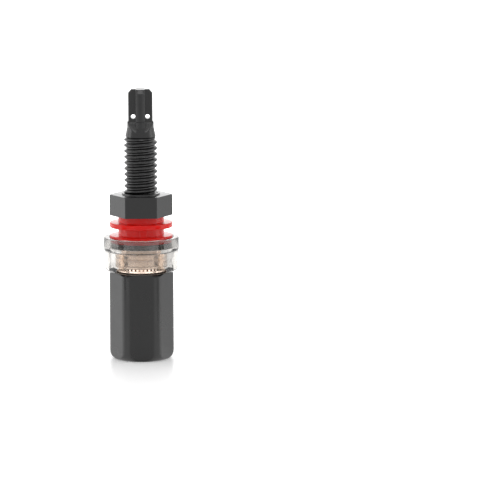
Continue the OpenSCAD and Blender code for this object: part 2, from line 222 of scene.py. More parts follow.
def thread_tree():
    """Geometry Nodes: adds a threaded bar or tube to a piece. The thread is one helix of rounded
    ridges, which fades out at both ends, and the bar runs on plain for a little beyond it."""
    tree = bpy.data.node_groups.new("helical_thread", "GeometryNodeTree")
    face = tree.interface
    face.new_socket("Geometry", in_out="INPUT", socket_type="NodeSocketGeometry")
    for label in ("Bore Radius", "Root Radius", "Crest Radius", "Pitch", "Low", "High", "Plain", "Fade",
                  "Start Turn", "Root Width", "Crest Width"):
        face.new_socket(label, in_out="INPUT", socket_type="NodeSocketFloat")
    face.new_socket("Steps", in_out="INPUT", socket_type="NodeSocketInt")
    face.new_socket("Material", in_out="INPUT", socket_type="NodeSocketMaterial")
    face.new_socket("Geometry", in_out="OUTPUT", socket_type="NodeSocketGeometry")
    start = tree.nodes.new("NodeGroupInput").outputs
    end = tree.nodes.new("NodeGroupOutput").inputs

    lowest = sum_of(tree, "SUBTRACT", start["Low"], start["Plain"])
    highest = sum_of(tree, "ADD", start["High"], start["Plain"])
    length = sum_of(tree, "SUBTRACT", highest, lowest)
    turns = sum_of(tree, "ADD", sum_of(tree, "CEIL", sum_of(tree, "DIVIDE", length, start["Pitch"])), 2.0)
    last = sum_of(tree, "MULTIPLY", turns, 12.0)
    grid = joined(tree, "GeometryNodeMeshGrid", Size_X=1.0, Size_Y=1.0,
                  Vertices_X=sum_of(tree, "ADD", start["Steps"], 1.0),
                  Vertices_Y=sum_of(tree, "ADD", last, 1.0))
    place = tree.nodes.new("GeometryNodeInputPosition")
    apart = joined(tree, "ShaderNodeSeparateXYZ", Vector=place.outputs[0])
    turn = sum_of(tree, "ADD", apart.outputs["X"], 0.5)
    share = sum_of(tree, "ADD", apart.outputs["Y"], 0.5)
    row = sum_of(tree, "MULTIPLY", share, last)
    along = sum_of(tree, "MULTIPLY", share, turns)
    wave = sum_of(tree, "PINGPONG", along, 0.5)
    ridge = joined(tree, "ShaderNodeMapRange", {"interpolation_type": "SMOOTHSTEP"}, Value=wave,
                   From_Min=start["Root Width"], From_Max=sum_of(tree, "SUBTRACT", 0.5, start["Crest Width"]),
                   To_Min=0.0, To_Max=1.0).outputs["Result"]
    wound = sum_of(tree, "ADD", sum_of(tree, "SUBTRACT", along, 1.0),
                   sum_of(tree, "SUBTRACT", turn, start["Start Turn"]))
    climb = sum_of(tree, "ADD", sum_of(tree, "MULTIPLY", start["Pitch"], wound), lowest)
    height = sum_of(tree, "MINIMUM", sum_of(tree, "MAXIMUM", climb, lowest), highest)
    from_low = sum_of(tree, "DIVIDE", sum_of(tree, "SUBTRACT", height, start["Low"]), start["Fade"])
    from_high = sum_of(tree, "DIVIDE", sum_of(tree, "SUBTRACT", start["High"], height), start["Fade"])
    fade = sum_of(tree, "MINIMUM", sum_of(tree, "MINIMUM", from_low, from_high), 1.0, clamp=True)
    depth = sum_of(tree, "MULTIPLY", sum_of(tree, "SUBTRACT", start["Crest Radius"], start["Root Radius"]),
                   sum_of(tree, "MULTIPLY", ridge, fade))
    outside = sum_of(tree, "ADD", start["Root Radius"], depth)
    foot = sum_of(tree, "MAXIMUM", sum_of(tree, "LESS_THAN", row, 0.5),
                  sum_of(tree, "GREATER_THAN", row, sum_of(tree, "SUBTRACT", last, 0.5)))
    ending = sum_of(tree, "GREATER_THAN", row, sum_of(tree, "SUBTRACT", last, 1.5))
    inside = sum_of(tree, "MAXIMUM", foot, ending)
    radius = joined(tree, "ShaderNodeMix", {"data_type": "FLOAT"}, Factor=inside, A=outside,
                    B=start["Bore Radius"])
    level = joined(tree, "ShaderNodeMix", {"data_type": "FLOAT"}, Factor=ending, A=height, B=highest)
    level = joined(tree, "ShaderNodeMix", {"data_type": "FLOAT"}, Factor=foot, A=level.outputs[0], B=lowest)
    angle = sum_of(tree, "MULTIPLY", turn, 2 * math.pi)
    spot = joined(tree, "ShaderNodeCombineXYZ",
                  X=sum_of(tree, "MULTIPLY", radius.outputs[0], sum_of(tree, "COSINE", angle)),
                  Y=sum_of(tree, "MULTIPLY", radius.outputs[0], sum_of(tree, "SINE", angle)),
                  Z=level.outputs[0])
    moved = joined(tree, "GeometryNodeSetPosition", Geometry=grid.outputs["Mesh"], Position=spot.outputs[0])
    together = tree.nodes.new("GeometryNodeJoinGeometry")
    tree.links.new(start["Geometry"], together.inputs[0])
    tree.links.new(moved.outputs[0], together.inputs[0])
    real = joined(tree, "GeometryNodeRealizeInstances", Geometry=together.outputs[0])
    coated = joined(tree, "GeometryNodeSetMaterial", Geometry=real.outputs[0], Material=start["Material"])
    tree.links.new(coated.outputs[0], end["Geometry"])
    return tree


def teeth_tree():
    """Geometry Nodes: adds a ring of radial teeth to a clamping face."""
    tree = bpy.data.node_groups.new("radial_teeth", "GeometryNodeTree")
    face = tree.interface
    face.new_socket("Geometry", in_out="INPUT", socket_type="NodeSocketGeometry")
    face.new_socket("Count", in_out="INPUT", socket_type="NodeSocketInt")
    for label in ("Inner Radius", "Outer Radius", "Width", "Low", "High"):
        face.new_socket(label, in_out="INPUT", socket_type="NodeSocketFloat")
    face.new_socket("Material", in_out="INPUT", socket_type="NodeSocketMaterial")
    face.new_socket("Geometry", in_out="OUTPUT", socket_type="NodeSocketGeometry")
    start = tree.nodes.new("NodeGroupInput").outputs
    end = tree.nodes.new("NodeGroupOutput").inputs

    middle = sum_of(tree, "MULTIPLY", sum_of(tree, "ADD", start["Inner Radius"], start["Outer Radius"]), 0.5)
    level = sum_of(tree, "MULTIPLY", sum_of(tree, "ADD", start["Low"], start["High"]), 0.5)
    size = joined(tree, "ShaderNodeCombineXYZ", Y=start["Width"],
                  X=sum_of(tree, "SUBTRACT", start["Outer Radius"], start["Inner Radius"]),
                  Z=sum_of(tree, "SUBTRACT", start["High"], start["Low"]))
    tooth = joined(tree, "GeometryNodeMeshCube", Size=size.outputs[0])
    ring = joined(tree, "GeometryNodeMeshCircle", Vertices=start["Count"], Radius=middle)
    place = tree.nodes.new("GeometryNodeInputPosition")
    pointed = joined(tree, "FunctionNodeAlignRotationToVector", {"axis": "X"}, Vector=place.outputs[0])
    placed = joined(tree, "GeometryNodeInstanceOnPoints", Points=ring.outputs["Mesh"],
                    Instance=tooth.outputs["Mesh"], Rotation=pointed.outputs[0])
    lift = joined(tree, "ShaderNodeCombineXYZ", Z=level)
    lifted = joined(tree, "GeometryNodeTranslateInstances", Instances=placed.outputs[0],
                    Translation=lift.outputs[0])
    lifted.inputs["Local Space"].default_value = False
    together = tree.nodes.new("GeometryNodeJoinGeometry")
    tree.links.new(start["Geometry"], together.inputs[0])
    tree.links.new(lifted.outputs[0], together.inputs[0])
    real = joined(tree, "GeometryNodeRealizeInstances", Geometry=together.outputs[0])
    coated = joined(tree, "GeometryNodeSetMaterial", Geometry=real.outputs[0], Material=start["Material"])
    tree.links.new(coated.outputs[0], end["Geometry"])
    return tree


def grow(piece, tree, **values):
    """Runs a Geometry Nodes tree on a piece and keeps the result as its plain mesh."""
    tool = piece.modifiers.new(tree.name, "NODES")
    tool.node_group = tree
    for item in tree.interface.items_tree:
        label = item.name.replace(" ", "_")
        if item.in_out == "INPUT" and label in values:
            tool[item.identifier] = values[label]
    bpy.context.view_layer.update()
    solid = piece.evaluated_get(bpy.context.evaluated_depsgraph_get())
    mesh = bpy.data.meshes.new_from_object(solid)
    name = piece.name
    bpy.data.objects.remove(piece)
    made = weld(name, mesh)
    made.name = name
    return made


def finish_piece(piece, material, body, nodes):
    """Gives a made piece its material and slot and its body, and hides the CAD nodes that it stands for."""
    piece.data.materials.clear()
    piece.data.materials.append(material)
    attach(piece, body)
    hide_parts(*nodes)


helical_thread = thread_tree()
radial_teeth = teeth_tree()
plated_copper = new_finish("plated_copper", (0.97, 0.80, 0.68), (0.94, 0.75, 0.62),
                           size=300, smooth=0.12, dull=0.20,
                           relief=(lines_group, "Lines", 9000.0, 0.10), Metallic=1.0)

barrel_low, barrel_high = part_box("contact_post")
clamp_low, clamp_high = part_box("clamp_ring")
collar_low, collar_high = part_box("collar")
stud_low, stud_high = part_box("rear_stud")
socket_r = 2.05 * mm
socket_top = barrel_low.z + 19.2 * mm
face_z = clamp_high.z
base_r = barrel_high.x
web_top = stud_low.z
web_foot = web_top - 1.0 * mm
neck_r = 4.75 * mm
spigot_r = 2.3 * mm
tooth_depth = 0.3 * mm
tooth_in = 4.5 * mm
groove_z = web_foot - 1.15 * mm
groove_w = 0.2 * mm
groove_r = base_r - 0.15 * mm
tooth_count = 40
tooth_w = 0.52 * mm
tooth_root = 0.5 * mm
tooth_foot_r = tooth_in - 0.1 * mm
tooth_tip_r = base_r - 0.03 * mm

hair_round = 0.02 * mm
groove_round = 0.04 * mm
fine_round = 0.05 * mm
edge_round = 0.12 * mm
soft_round = 0.15 * mm

contact_rows = [(0, socket_top), (socket_r, socket_top)]
contact_rows += rounded([
    (socket_r, face_z, 0),
    (tooth_in, face_z, fine_round),
    (tooth_in, face_z + tooth_depth, fine_round),
    (base_r, face_z + tooth_depth, 0.06 * mm),
    (base_r, groove_z - groove_w, groove_round),
    (groove_r, groove_z - groove_w, groove_round),
    (groove_r, groove_z, groove_round),
    (base_r, groove_z, groove_round),
    (base_r, web_foot, 0.08 * mm),
    (neck_r, web_foot, 0.03 * mm),
    (neck_r, web_top, 0.08 * mm),
    (spigot_r, web_top, fine_round),
    (spigot_r, barrel_high.z, soft_round),
    (0, barrel_high.z, 0),
], steps=4)
copper_contact = polar_body("copper_contact", 160, contact_rows)
copper_contact = grow(copper_contact, radial_teeth, Count=tooth_count, Inner_Radius=tooth_foot_r,
                      Outer_Radius=tooth_tip_r, Width=tooth_w, Low=face_z, High=face_z + tooth_root,
                      Material=plated_copper)
barrel_root_r = 2.97 * mm
barrel_crest_r = 3.3 * mm
barrel_pitch = 1.0 * mm
barrel_plain = 0.2 * mm
copper_contact = grow(copper_contact, helical_thread, Bore_Radius=socket_r, Root_Radius=barrel_root_r,
                      Crest_Radius=barrel_crest_r, Pitch=barrel_pitch, Low=barrel_low.z + barrel_plain,
                      High=face_z - barrel_plain, Plain=barrel_plain, Fade=0.5 * mm, Start_Turn=0.0,
                      Root_Width=0.06, Crest_Width=0.06, Steps=96, Material=plated_copper)
finish_piece(copper_contact, plated_copper, "post", ["contact_post"])


# ---- Collar ------------------------------------------------------------------
# The clear, smoke-tinted collar that holds the red insulator and keeps the wires apart.
# It is moulded with a thick wall, a recess above its web and two wire notches in its foot.

def combine(piece, other, operation):
    """Takes a closed mesh away from a piece, or adds it, and drops the other mesh."""
    tool = piece.modifiers.new(other.name, "BOOLEAN")
    tool.object = other
    tool.operation = operation
    tool.solver = "EXACT"
    bpy.context.view_layer.update()
    solid = piece.evaluated_get(bpy.context.evaluated_depsgraph_get())
    mesh = bpy.data.meshes.new_from_object(solid)
    piece.modifiers.remove(tool)
    piece.data = mesh
    bpy.data.objects.remove(other)
    mesh.shade_smooth()
    mesh.set_sharp_from_angle(angle=math.radians(sharp_angle))


def prism(name, outline, place, first, last):
    """A closed bar along one direction, from an outline and the function that places its points."""
    count = len(outline)
    points = [place(a, b, depth) for depth in (first, last) for a, b in outline]
    faces = [(k, (k + 1) % count, count + (k + 1) % count, count + k) for k in range(count)]
    faces += [tuple(range(count)), tuple(range(count, 2 * count))]
    mesh = bpy.data.meshes.new(name)
    mesh.from_pydata(points, [], faces)
    return weld(name, mesh)


collar_r = collar_high.x
wall_step = 0.2 * mm
wall_r = collar_r - wall_step
foot_round = 1.1 * mm
rim_round = 0.25 * mm
foot_z = collar_low.z
rim_z = collar_high.z
step_z = web_top - 0.8 * mm
cavity_r = 6.2 * mm
recess_r = 7.65 * mm
neck_bore_r = 4.8 * mm
collar_profile = rounded([
    (cavity_r, foot_z, edge_round),
    (wall_r, foot_z, foot_round),
    (wall_r, step_z, soft_round),
    (collar_r, step_z + wall_step, soft_round),
    (collar_r, rim_z, rim_round),
    (recess_r, rim_z, soft_round),
    (recess_r, web_top, 0.1 * mm),
    (neck_bore_r, web_top, fine_round),
    (neck_bore_r, web_foot, fine_round),
    (cavity_r, web_foot, soft_round),
])
collar_profile.append(collar_profile[0])
clear_collar = polar_body("clear_collar", 180, collar_profile)

notch_w = 12.2 * mm
notch_h = 1.45 * mm
notch_corner = 1.0 * mm
notch_inner = 1 * mm
notch_outer = 12 * mm
notch_outline = [(-notch_w / 2, -1 * mm), (notch_w / 2, -1 * mm)]
for first_turn, side in ((0, 1), (90, -1)):
    for k in range(9):
        turn = math.radians(first_turn + 90 * k / 8)
        notch_outline.append((side * (notch_w / 2 - notch_corner) + notch_corner * math.cos(turn),
                              notch_h - notch_corner + notch_corner * math.sin(turn)))
for side in (-1, 1):
    notch = prism("notch", notch_outline, lambda x, z, y: (x, side * y, foot_z + z),
                  notch_inner, notch_outer)
    combine(clear_collar, notch, "DIFFERENCE")

smoke_clear = new_finish("smoke_clear", (0.60, 0.578, 0.550), (0.58, 0.558, 0.530),
                         size=150, smooth=0.02, dull=0.05, IOR=1.54, Transmission_Weight=1.0)
finish_piece(clear_collar, smoke_clear, "post", ["collar"])


# ---- Rear stud ---------------------------------------------------------------
# Black coated stud, pressed on the contact's spigot: a flange in the collar, the long thread,
# a short cone and neck, and a four-ribbed tail with two holes for a wire. The thread is rolled.

def moulded_grain():
    """Shader group: the fine, even grain of a moulded or coated surface."""
    group = shader_group("moulded_grain", {"Grain": 20000.0}, ["Height"])
    start = group.nodes.new("NodeGroupInput").outputs
    end = group.nodes.new("NodeGroupOutput").inputs
    place = group.nodes.new("ShaderNodeTexCoord")
    grain = joined(group, "ShaderNodeTexNoise", Vector=place.outputs["Object"],
                   Scale=start["Grain"], Detail=2.0, Roughness=0.5)
    group.links.new(grain.outputs["Fac"], end["Height"])
    return group


def soft_min(a, b, blend):
    """The smaller of two values, with the crease between them rounded."""
    near = max(blend - abs(a - b), 0) / blend
    return min(a, b) - near * near * blend / 4


def soft_max(a, b, blend):
    """The larger of two values, with the crease between them rounded."""
    return -soft_min(-a, -b, blend)


grain_group = moulded_grain()
coated_black = new_finish("coated_black", (0.0035, 0.0035, 0.0037), (0.006, 0.006, 0.0063),
                          size=220, smooth=0.20, dull=0.30,
                          relief=(grain_group, "Grain", 9000.0, 0.12))

bush_low, bush_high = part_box("front_bush")
stud_flange_r = stud_high.x
stud_crest_r = 3.95 * mm
stud_root_r = 3.4 * mm
stud_pitch = 1.385 * mm
flange_z = bush_low.z
thread_low = flange_z + 1.3 * mm
tip_z = stud_high.z
tail_z = tip_z - 7.6 * mm
neck_z = tail_z - 1.5 * mm
cone_z = neck_z - 2.2 * mm
cone_r = 3.65 * mm
tail_neck_r = 3.19 * mm
tail_r = 2.95 * mm
core_r = 2.35 * mm
rib_half = 1.05 * mm
neck_step = 0.15 * mm
tip_r = core_r - 0.15 * mm
tip_chamfer = 0.9 * mm
run_top = tail_z - 0.35 * mm
groove_floor = 1.5 * mm
rib_edge = 0.22 * mm
wire_r = 0.54 * mm
wire_x = 1.7 * mm
wire_z = tail_z + 1.1 * mm
wire_reach = 5 * mm
tuck_z = cone_z - 0.3 * mm
flank_limit = 0.05

rib_bearings = []
for first in range(4):
    rib_bearings += [math.radians(90 * first + turn) for turn in (0, 5, 10, 14, 17, 18.5)]
    rib_bearings += [math.radians(90 * first + 19.5 + 51 * k / 48) for k in range(49)]
    rib_bearings += [math.radians(90 * first + turn) for turn in (71.5, 73, 76, 80, 85)]


def ribbed(outer, z):
    """Radius of the tail at a height: four ribs with flat flanks, and grooves between them that
    the cutter leaves in a slope below the foot of the tail."""
    side_half = rib_half + max(run_top - z, 0)

    def radius(turn):
        front_flank = rib_half / max(abs(math.cos(turn)), flank_limit)
        side_flank = side_half / max(abs(math.sin(turn)), flank_limit)
        groove = soft_max(max(front_flank, side_flank), groove_floor, fine_round)
        return soft_min(outer, groove, rib_edge)
    return radius


def tail_outer(z):
    """Radius across the ribs, up the cone, the neck and the tail."""
    if z < neck_z:
        return cone_r + (tail_neck_r - cone_r) * (z - cone_z) / (neck_z - cone_z)
    if z < tail_z - neck_step:
        return tail_neck_r
    if z < tail_z:
        return tail_neck_r + (tail_r - tail_neck_r) * (z - tail_z + neck_step) / neck_step
    if z < tip_z - tip_chamfer:
        return tail_r
    return tail_r + (tip_r - tail_r) * (z - tip_z + tip_chamfer) / tip_chamfer


slope_low = cone_z + 0.08 * mm
slope_rise = tail_z - 0.4 * mm - cone_z
rib_low = tail_z + 1 * mm
rib_high = tip_z - tip_chamfer - 0.06 * mm
tail_levels = [cone_z, slope_low]
tail_levels += [slope_low + slope_rise * k / 40 for k in range(1, 41)]
tail_levels += [tail_z + up * mm
                for up in (-0.2, -0.15, -0.1, -0.05, 0, 0.05, 0.12, 0.2, 0.28, 0.34, 0.5, 1)]
tail_levels += [rib_low + (rib_high - rib_low) * k / 8 for k in range(1, 9)]
tail_levels += [tip_z - tip_chamfer + up * mm for up in (0, 0.06, 0.2, 0.35, 0.5, 0.65, 0.8)]
tail_levels = sorted(set(tail_levels))
tail_rows = [(0, tuck_z), (stud_root_r - 0.05 * mm, tuck_z),
             (stud_root_r - 0.02 * mm, cone_z - 0.2 * mm), (cone_r - 0.1 * mm, cone_z - 0.03 * mm)]
tail_rows += [(ribbed(tail_outer(z), z), z) for z in tail_levels]
tail_rows += [(ribbed(tip_r + 0.03 * mm, tip_z), tip_z - 0.05 * mm),
              (ribbed(tip_r - 0.04 * mm, tip_z), tip_z), (0, tip_z)]
stud_tail = polar_body("stud_tail", rib_bearings, tail_rows)
for side in (-1, 1):
    ring = [(wire_r * math.cos(math.pi * k / 24), wire_r * math.sin(math.pi * k / 24)) for k in range(48)]
    wire_hole = prism("wire_hole", ring, lambda x, z, y: (side * wire_x + x, y, wire_z + z),
                      -wire_reach, wire_reach)
    combine(stud_tail, wire_hole, "DIFFERENCE")

stud_foot = polar_body("stud_foot", 144, rounded([
    (0, web_top, 0),
    (stud_flange_r, web_top, edge_round),
    (stud_flange_r, flange_z, edge_round),
    (0, flange_z, 0),
]))
both = bmesh.new()
both.from_mesh(stud_foot.data)
both.from_mesh(stud_tail.data)
turned = bpy.data.meshes.new("turned_stud")
both.to_mesh(turned)
both.free()
bpy.data.objects.remove(stud_foot)
bpy.data.objects.remove(stud_tail)
threaded_stud = bpy.data.objects.new("threaded_stud", turned)
scene.collection.objects.link(threaded_stud)
threaded_stud = grow(threaded_stud, helical_thread, Bore_Radius=0.0, Root_Radius=stud_root_r,
                     Crest_Radius=stud_crest_r, Pitch=stud_pitch, Low=thread_low, High=cone_z - 0.1 * mm,
                     Plain=0.4 * mm, Fade=0.5 * mm, Start_Turn=0.053, Root_Width=0.08, Crest_Width=0.10,
                     Steps=144, Material=coated_black)
finish_piece(threaded_stud, coated_black, "post", ["rear_stud"])


# ---- Red insulators -----------------------------------------------------------
# Two rings of translucent red plastic that insulate the stud from the panel: the front one fills
# the panel hole and is keyed against turning, the rear one bears on the panel under the nut.

washer_low, washer_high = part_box("rear_washer")
ring_bore_r = 4.03 * mm
flange_r = washer_high.x
shoulder_r = 5.45 * mm
seat_z = flange_z + 1.55 * mm
shoulder_z = bush_high.z
bush_rows = rounded([
    (ring_bore_r, flange_z, fine_round),
    (flange_r, flange_z, soft_round),
    (flange_r, seat_z, 0.2 * mm),
    (shoulder_r, seat_z, 0.1 * mm),
    (shoulder_r, shoulder_z, edge_round),
    (ring_bore_r, shoulder_z, 0.1 * mm),
])
bush_rows.append(bush_rows[0])
red_bush = polar_body("red_bush", 144, bush_rows)

key_half = 0.9 * mm
key_front = shoulder_r + 0.45 * mm
key_round = 0.12 * mm
key_turn = math.radians(5)
key_root = -shoulder_r + 0.6 * mm
key_outline = [(-key_half, key_root), (-key_half, -key_front + key_round)]
key_outline += [(-key_half + key_round, -key_front), (key_half - key_round, -key_front)]
key_outline += [(key_half, -key_front + key_round), (key_half, key_root)]
key = prism("key", key_outline, lambda x, y, z: (
    x * math.cos(key_turn) - y * math.sin(key_turn), x * math.sin(key_turn) + y * math.cos(key_turn), z),
    seat_z - 0.2 * mm, shoulder_z - 0.02 * mm)
combine(red_bush, key, "UNION")

disc_top = washer_low.z + 1.15 * mm
washer_rows = rounded([
    (ring_bore_r, washer_low.z, 0.1 * mm),
    (flange_r, washer_low.z, 0.2 * mm),
    (flange_r, disc_top, 0.25 * mm),
    (shoulder_r, disc_top, soft_round),
    (shoulder_r, washer_high.z, edge_round),
    (ring_bore_r, washer_high.z, 0.1 * mm),
])
washer_rows.append(washer_rows[0])
red_washer = polar_body("red_washer", 144, washer_rows)

red_plastic = new_finish("red_plastic", (0.97, 0.010, 0.006), (0.93, 0.008, 0.005),
                         size=200, smooth=0.06, dull=0.12,
                         IOR=1.4, Specular_IOR_Level=0.2, Transmission_Weight=0.3)
finish_piece(red_bush, red_plastic, "post", ["front_bush"])
finish_piece(red_washer, red_plastic, "washer", ["rear_washer"])


# ---- Rear nut ------------------------------------------------------------------
# Black hexagonal nut, chamfered round at its top corners, with a low lip round its thread.
# It is moulded in satin plastic, and clamps the panel through the red rings.

def hexagon(across_flats, corner):
    """Radius of a hexagon with rounded corners, at a bearing, with two of its flats across Y."""
    reach = (across_flats / 2 - corner) / math.cos(math.radians(30))
    edge = math.atan2(corner * 0.5, reach + corner * math.cos(math.radians(30)))

    def radius(turn):
        off = (turn + math.radians(30)) % math.radians(60) - math.radians(30)
        if abs(off) < edge:
            return reach * math.cos(off) + math.sqrt(corner ** 2 - (reach * math.sin(off)) ** 2)
        return across_flats / 2 / math.cos(math.radians(30) - abs(off))
    return radius


def chamfered(outline, cone, blend):
    """Radius of an outline cut by a cone, with the edge between them rounded."""
    return lambda turn: soft_min(outline(turn), cone, blend)


def hexagon_bearings(edge, steps, flat_steps):
    """Bearings that sample the rounded corners of a hexagon closely, and its flats loosely."""
    turns = []
    for side in range(6):
        middle = math.radians(60 * side)
        turns += [middle + edge * (2 * k / steps - 1) for k in range(steps)]
        turns += [middle + edge + (math.radians(60) - 2 * edge) * k / flat_steps
                  for k in range(flat_steps)]
    return turns


nut_low, nut_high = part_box("rear_nut")
nut_af = nut_high.y - nut_low.y
nut_face = nut_high.z - 0.35 * mm
nut_outline = hexagon(nut_af, 0.15 * mm)
nut_chamfer_r = 7.2 * mm
lip_r = 4.55 * mm
nut_bore_r = 3.98 * mm
nut_foot_r = 7.35 * mm
nut_slope = math.radians(30)
chamfer_drop = 0.24 * mm
face_edge = 0.08 * mm
inner_face_r = 6.2 * mm
nut_rows = [(nut_bore_r, nut_low.z)]
nut_rows += [(chamfered(nut_outline, nut_foot_r + 0.06 * mm * k, fine_round), nut_low.z + 0.04 * mm * k)
             for k in range(5)]
for k in range(13):
    down = chamfer_drop * (1 - k / 12)
    nut_rows.append((chamfered(nut_outline, nut_chamfer_r + down / math.tan(nut_slope), fine_round),
                     nut_face - down))
nut_rows.append((lambda turn: min(nut_outline(turn), nut_chamfer_r) - face_edge, nut_face))
nut_rows += rounded([
    (inner_face_r, nut_face, 0),
    (lip_r, nut_face, 0.08 * mm),
    (lip_r, nut_high.z, edge_round),
    (nut_bore_r, nut_high.z, 0.08 * mm),
    (nut_bore_r, nut_low.z, 0),
], steps=4)
hex_nut = polar_body("hex_nut", hexagon_bearings(edge=math.radians(2.0), steps=10, flat_steps=40), nut_rows)
nut_plastic = new_finish("nut_plastic", (0.004, 0.004, 0.0042), (0.007, 0.007, 0.0073),
                         size=240, smooth=0.16, dull=0.24,
                         relief=(grain_group, "Grain", 12000.0, 0.12))
finish_piece(hex_nut, nut_plastic, "nut", ["rear_nut"])


# ---- Clamp ring ------------------------------------------------------------------
# Toothed ring that presses the wire on the base. Its hub is held in the knob by an open clip and
# swivels there, so that the ring does not turn on the wire. Turned, milled and plated.

def dress(node, material):
    """Gives a CAD node its material."""
    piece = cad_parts[node]
    piece.data.materials.clear()
    piece.data.materials.append(material)


knob_low, knob_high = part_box("knob_shell")
clamp_z = knob_high.z + 0.02 * mm
hub_r = 4.2 * mm
ring_bore = 3.35 * mm
hub_groove_z = clamp_low.z + 0.33 * mm
hub_groove_top = hub_groove_z + 0.49 * mm
hub_groove_r = hub_r - 0.25 * mm
clamp_rows = rounded([
    (ring_bore, clamp_low.z, fine_round),
    (hub_r, clamp_low.z, fine_round),
    (hub_r, hub_groove_z, hair_round),
    (hub_groove_r, hub_groove_z, hair_round),
    (hub_groove_r, hub_groove_top, hair_round),
    (hub_r, hub_groove_top, hair_round),
    (hub_r, clamp_z, hair_round),
    (base_r, clamp_z, edge_round),
    (base_r, face_z - tooth_depth, groove_round),
    (tooth_in, face_z - tooth_depth, fine_round),
    (tooth_in, face_z, fine_round),
    (ring_bore, face_z, fine_round),
], steps=3)
clamp_rows.append(clamp_rows[0])
toothed_clamp = polar_body("toothed_clamp", 160, clamp_rows)
toothed_clamp = grow(toothed_clamp, radial_teeth, Count=tooth_count, Inner_Radius=tooth_foot_r,
                     Outer_Radius=tooth_tip_r, Width=tooth_w, Low=face_z - tooth_root, High=face_z,
                     Material=plated_copper)
finish_piece(toothed_clamp, plated_copper, "clamp", ["clamp_ring"])


# ---- Knob ------------------------------------------------------------------------
# Inner core with the plug's mouth, the clutch on its sleeve, and the hexagonal grip over both.
# Core and grip are moulded in black, and the grip is turned round at its end face.

core_black = new_finish("core_black", (0.006, 0.006, 0.0063), (0.010, 0.010, 0.0104),
                        size=180, smooth=0.28, dull=0.40,
                        relief=(grain_group, "Grain", 9000.0, 0.12))
dress("knob_core", core_black)
clutch_plastic = new_finish("clutch_plastic", (0.70, 0.66, 0.54), (0.64, 0.60, 0.48),
                            size=200, smooth=0.35, dull=0.5)
dress("slip_ring", clutch_plastic)
spring_steel = new_finish("spring_steel", (0.62, 0.63, 0.65), (0.52, 0.53, 0.55),
                          size=300, smooth=0.2, dull=0.35, Metallic=1.0)
for part in ("wave_spring", "core_clip", "swivel_clip"):
    dress(part, spring_steel)
insert_brass = new_finish("insert_brass", (0.80, 0.62, 0.32), (0.72, 0.54, 0.26),
                          size=300, smooth=0.25, dull=0.4, Metallic=1.0)
dress("thread_insert", insert_brass)

knob_af = knob_high.y - knob_low.y
knob_corner = 2.5 * mm
knob_outline = hexagon(knob_af, knob_corner)
knob_reach = knob_high.x
knob_len = knob_high.z
end_bore_r = 6.12 * mm
end_rim_r = 6.18 * mm
end_round = 2.2 * mm
end_reach = knob_reach + 0.02 * mm
top_face_r = 6.5 * mm
top_chamfer = 0.5 * mm
top_run = 0.8 * mm
mouth_r = 5.95 * mm
sleeve_r = 5.35 * mm
ledge_z = knob_len - 2.75 * mm
core_top = 4.42 * mm
knob_rows = [(end_rim_r, 0)]
for k in range(1, 31):
    lean = math.radians(90 * (k / 30) ** 1.2)
    cone = end_rim_r + (end_reach - end_rim_r) * math.sin(lean)
    knob_rows.append((chamfered(knob_outline, cone, edge_round), end_round * (1 - math.cos(lean))))
for k in range(1, 11):
    z = knob_len - top_run + top_run * k / 10
    knob_rows.append((chamfered(knob_outline, knob_reach - top_chamfer + knob_len - z, 0.2 * mm), z))
knob_rows += rounded([
    (top_face_r, knob_len, 0),
    (mouth_r, knob_len, 0.1 * mm),
    (mouth_r, ledge_z, fine_round),
    (sleeve_r, ledge_z, fine_round),
    (sleeve_r, core_top, fine_round),
    (end_bore_r, core_top, fine_round),
    (end_bore_r, 0.02 * mm, 0),
    (end_rim_r, 0, 0),
], steps=3)
knob_bearings = hexagon_bearings(edge=math.radians(11.5), steps=30, flat_steps=24)
knob_grip = polar_body("knob_grip", knob_bearings, knob_rows)
grip_black = new_finish("grip_black", (0.0035, 0.0035, 0.0037), (0.006, 0.006, 0.0062),
                        size=160, smooth=0.26, dull=0.34,
                        relief=(grain_group, "Grain", 12000.0, 0.12))
finish_piece(knob_grip, grip_black, "grip", ["knob_shell"])


# ---- Studio -----------------------------------------------------------------------
# White floor and surroundings, soft boxes at the sides and behind, and the camera a little above.
# Dark flags and glowing cards, which the camera does not see, shape the reflections in the metal
# and the plastic.

floor_mesh = bpy.data.meshes.new("floor")
floor_half = 2.0
floor_mesh.from_pydata([(-floor_half, -floor_half, 0), (floor_half, -floor_half, 0),
                        (floor_half, floor_half, 0), (-floor_half, floor_half, 0)], [], [(0, 1, 2, 3)])
floor = bpy.data.objects.new("floor", floor_mesh)
scene.collection.objects.link(floor)
floor_white = bpy.data.materials.new("floor_white")
floor_white.use_nodes = True
tree = floor_white.node_tree
floor_shader = tree.nodes["Principled BSDF"]
floor_shader.inputs["Base Color"].default_value = (0.92, 0.92, 0.92, 1)
floor_shader.inputs["Roughness"].default_value = 0.3
floor_shader.inputs["Emission Color"].default_value = (1, 1, 1, 1)
place = tree.nodes.new("ShaderNodeTexCoord")
distance = joined(tree, "ShaderNodeVectorMath", {"operation": "LENGTH"}, Vector=place.outputs["Object"])
lift = joined(tree, "ShaderNodeMapRange", Value=distance.outputs["Value"], From_Min=0.01, From_Max=0.12,
              To_Min=0.2, To_Max=1.0)
# Painted light on the floor: its emission is seen only in reflections and through the clear plastic, never by
# diffuse light. In reflections it glows a little everywhere and more towards the sides, less behind on the
# right. Through the plastic it glows in front of the object.
bearing = joined(tree, "ShaderNodeVectorMath", {"operation": "NORMALIZE"}, Vector=place.outputs["Object"])
apart = joined(tree, "ShaderNodeSeparateXYZ", Vector=bearing.outputs["Vector"])
front_shine = 0.17
side_shine = 0.6
through_shine = 0.6
aside = joined(tree, "ShaderNodeMapRange", {"interpolation_type": "SMOOTHSTEP"},
               Value=sum_of(tree, "ABSOLUTE", apart.outputs["X"]), From_Min=0.12, From_Max=0.5)
behind = joined(tree, "ShaderNodeMapRange", {"interpolation_type": "SMOOTHSTEP"},
                Value=apart.outputs["Y"], From_Min=0.0, From_Max=0.5)
